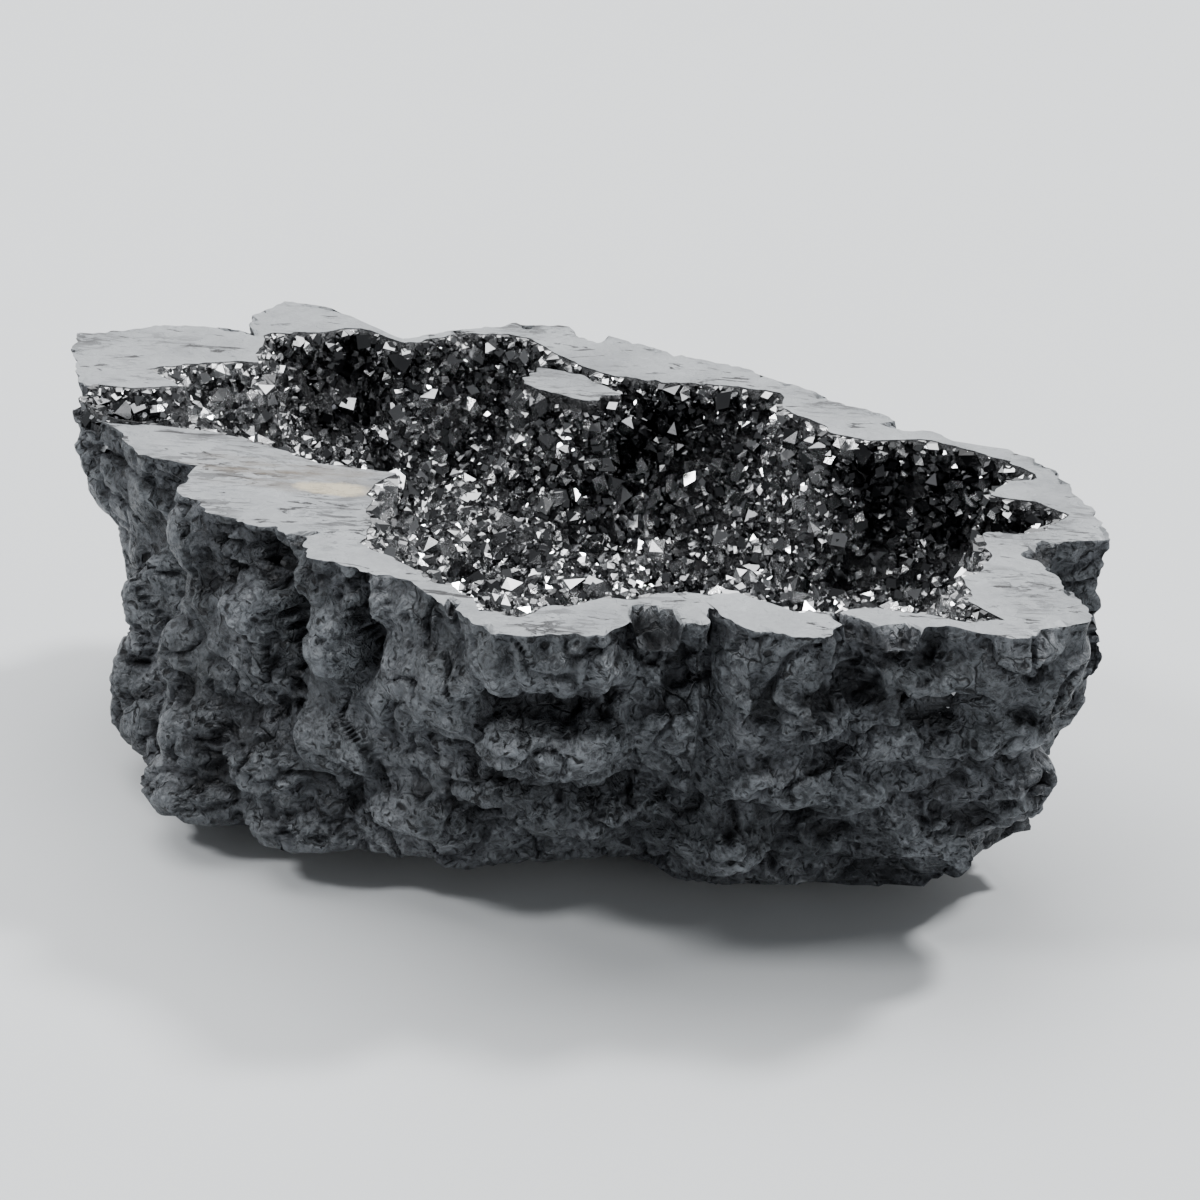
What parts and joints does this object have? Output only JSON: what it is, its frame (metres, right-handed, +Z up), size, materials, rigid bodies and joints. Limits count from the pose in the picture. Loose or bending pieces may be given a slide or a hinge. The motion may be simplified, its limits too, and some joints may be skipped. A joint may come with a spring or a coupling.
{
  "type": "pyrite geode half",
  "caption": "Half of a small geode sawn flat, with a lumpy weathered grey wall and a hollow lined with small metallic pyrite crystals.",
  "frame": {"origin": "centre of the bounding box's base, on the ground the stone rests on", "axes": "+X along the stone's long side, +Z up, square to the sawn face"},
  "size_m": [0.057, 0.0322, 0.0165],
  "materials": {
    "coated_stone": "satin dark grey on the weathered wall, paler satin grey on the sawn face",
    "druse": "polished flat crystal faces, dark steel grey"
  },
  "bodies": {
    "root": {"rind": "coated_stone", "crystal_crust": "druse"}
  },
  "joints": []
}
